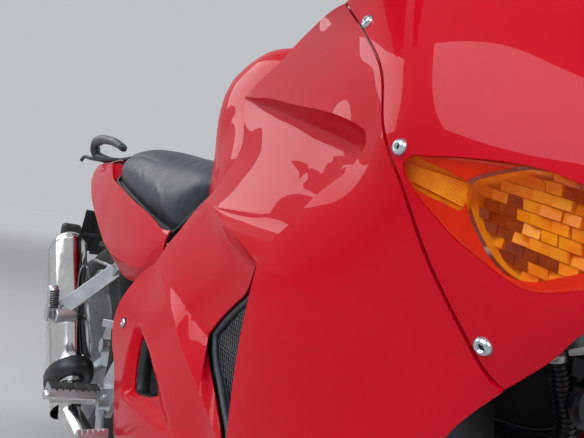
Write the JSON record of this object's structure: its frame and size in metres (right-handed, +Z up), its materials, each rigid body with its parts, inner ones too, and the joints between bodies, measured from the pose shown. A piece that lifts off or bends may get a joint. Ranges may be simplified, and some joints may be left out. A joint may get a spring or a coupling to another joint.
{
  "type": "sport touring motorcycle",
  "caption": "Faired sport touring motorcycle standing on its centre stand, with steering, free wheels, two stands and a hinged filler cap.",
  "frame": {"origin": "on the floor, midway along the overall length, in the plane of the wheels", "axes": "+X forward, +Y to the rider's left, +Z up"},
  "size_m": [2.095, 0.7352, 1.174],
  "materials": {
    "red_plastic": "glossy crimson paint on moulded plastic",
    "red_metal": "glossy crimson paint",
    "bare_metal": "satin cast aluminium",
    "dark_metal": "dark grey coated casting",
    "black_steel": "black painted steel",
    "bright_steel": "polished stainless steel",
    "disc_steel": "ground steel",
    "tyre": "black tread rubber",
    "vinyl": "slate black grained vinyl",
    "black_plastic": "black moulded plastic",
    "lens_amber": "clear amber over a faceted bowl",
    "lens_red": "red lens",
    "lamp_glass": "clear lamp lens",
    "screen": "lightly smoked clear plastic"
  },
  "bodies": {
    "chassis": {"brake_pedal": "bare_metal", "chain": "dark_metal", "dash_panel": "black_plastic", "drive_sprocket": "dark_metal", "engine": "dark_metal", "cowl_stay": "black_steel", "exhaust_pipe": "bright_steel", "frame": "bare_metal", "front_turn_signals": "lens_amber", "fuel_tank": "red_metal", "grab_rail": "dark_metal", "headlight": "lamp_glass", "hugger": "black_plastic", "lower_cowl": "red_plastic", "mirrors": "red_plastic", "muffler": "bright_steel", "passenger_pegs": "bare_metal", "radiators": "dark_metal", "rear_caliper": "dark_metal", "rear_fender": "black_plastic", "rear_subframe": "black_steel", "rider_pegs": "bare_metal", "seat": "vinyl", "shift_lever": "bare_metal", "shock_absorber": "black_steel", "side_cowl_left": "red_plastic", "side_cowl_right": "red_plastic", "side_stand_lug": "black_steel", "stand_lugs": "black_steel", "swingarm": "bare_metal", "tail_cowl": "red_plastic", "tail_light": "lens_red", "upper_cowl": "red_plastic", "windscreen": "screen"},
    "steering": {"steering_stem": "bare_metal", "fork_legs": "bright_steel", "handlebars": "black_plastic", "front_fender": "red_plastic", "front_calipers": "dark_metal", "front_axle": "bright_steel"},
    "front_wheel": {"front_rim": "bare_metal", "front_tyre": "tyre", "front_discs": "disc_steel"},
    "rear_wheel": {"rear_rim": "bare_metal", "rear_tyre": "tyre", "rear_hub": "disc_steel"},
    "center_stand": {"center_stand": "black_steel"},
    "side_stand": {"side_stand": "black_steel"},
    "filler_cap": {"filler_cap": "bare_metal"}
  },
  "joints": [
    {"name": "steering_head", "type": "hinge", "parent": "chassis", "child": "steering", "pos_m": [0.52316, 0, 0.68], "axis": [-0.4305, 0, 0.9026], "range_deg": [-30, 30]},
    {"name": "front_wheel_spin", "type": "hinge", "parent": "steering", "child": "front_wheel", "pos_m": [0.7475, 0, 0.3], "axis": [0, 1, 0], "continuous": true},
    {"name": "rear_wheel_spin", "type": "hinge", "parent": "chassis", "child": "rear_wheel", "pos_m": [-0.6925, 0, 0.327], "axis": [0, 1, 0], "continuous": true},
    {"name": "center_stand_fold", "type": "hinge", "parent": "chassis", "child": "center_stand", "pos_m": [-0.25, 0, 0.215], "axis": [0, 1, 0], "range_deg": [0, 84]},
    {"name": "side_stand_fold", "type": "hinge", "parent": "chassis", "child": "side_stand", "pos_m": [-0.112, 0.176, 0.262], "axis": [0.0253, -0.8377, -0.5455], "range_deg": [0, 105.9]},
    {"name": "filler_cap_hinge", "type": "hinge", "parent": "chassis", "child": "filler_cap", "pos_m": [0.128, 0, 0.998], "axis": [0, 1, 0], "range_deg": [0, 95]}
  ]
}
